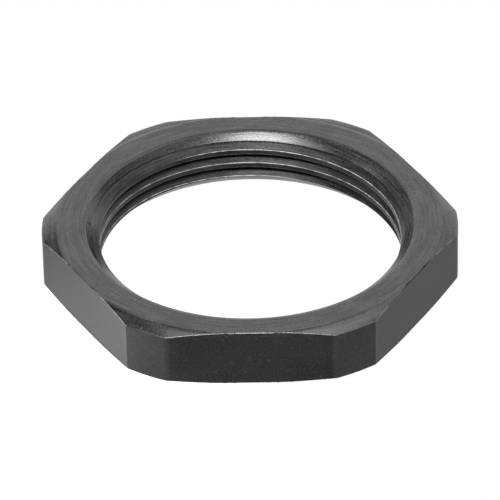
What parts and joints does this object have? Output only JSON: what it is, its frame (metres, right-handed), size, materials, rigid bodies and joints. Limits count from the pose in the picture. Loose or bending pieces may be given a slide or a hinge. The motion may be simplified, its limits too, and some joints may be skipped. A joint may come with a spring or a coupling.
{
  "type": "cable gland lock nut",
  "caption": "Thin hexagonal lock nut with a fine metric thread, turned-back corners, a shallow corner chamfer and a lead-in countersink on each face.",
  "frame": {"origin": "centre of the bottom face, on the thread axis", "axes": "+Z along the thread axis, out of the top face; one wrench flat faces -Y and two corners lie on X"},
  "size_m": [0.0394, 0.036, 0.0057],
  "materials": {
    "black_metal": "satin black, with faint turning marks on the faces"
  },
  "bodies": {
    "root": {"lock_nut": "black_metal"}
  },
  "joints": []
}
